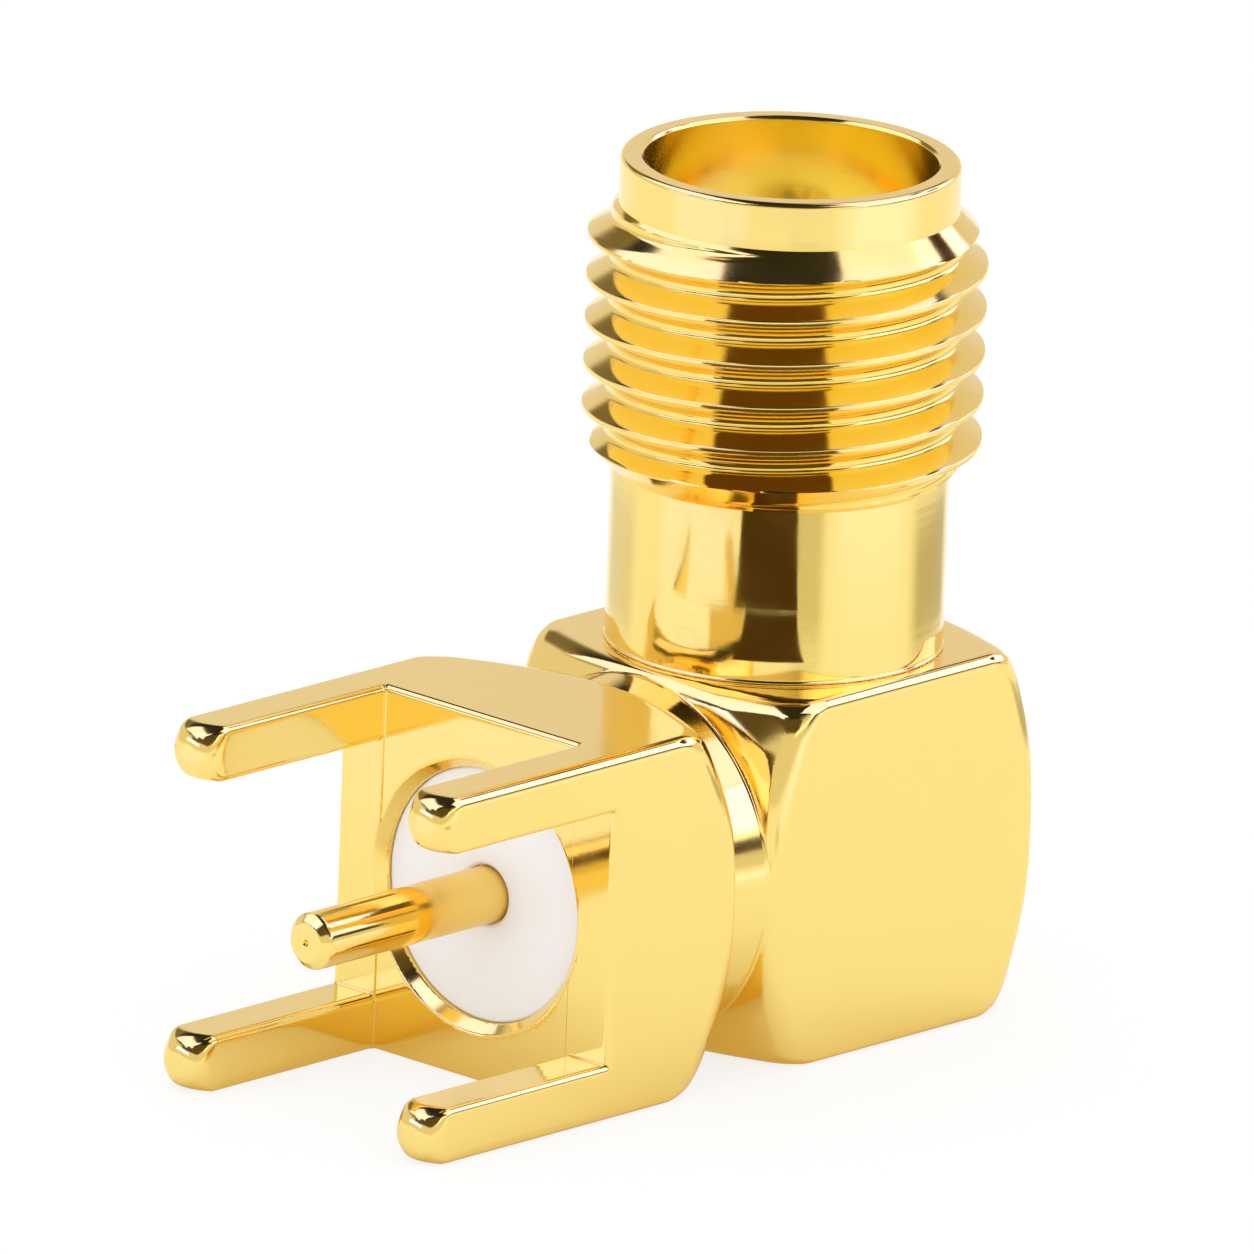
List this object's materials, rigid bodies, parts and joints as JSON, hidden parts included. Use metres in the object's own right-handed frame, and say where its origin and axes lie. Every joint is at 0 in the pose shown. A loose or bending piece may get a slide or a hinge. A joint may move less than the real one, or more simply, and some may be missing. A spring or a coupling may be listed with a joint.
{
  "type": "right-angle sma jack",
  "caption": "Right-angle coaxial jack for a printed circuit board: threaded barrel on a square elbow block, with a milled foot, square legs and a solder pin.",
  "frame": {"origin": "on the solder pin's axis, in the plane where the legs meet the foot and the board sits", "axes": "-Y along the legs and the solder pin, +Z along the barrel and out of its mouth, X across the elbow"},
  "size_m": [0.0064, 0.0139, 0.0139],
  "materials": {
    "gold_body": "bright gold plating on a tumbled, milled bar",
    "gold_barrel": "bright gold plating on a turned surface",
    "gold_pin": "bright gold plating",
    "gold_contact": "bright gold plating",
    "ptfe": "white PTFE, faintly waxy"
  },
  "bodies": {
    "root": {"elbow_body": "gold_body", "threaded_barrel": "gold_barrel", "tail_pin": "gold_pin", "socket_contact": "gold_contact", "barrel_insulator": "ptfe", "foot_insulator": "ptfe"}
  },
  "joints": []
}
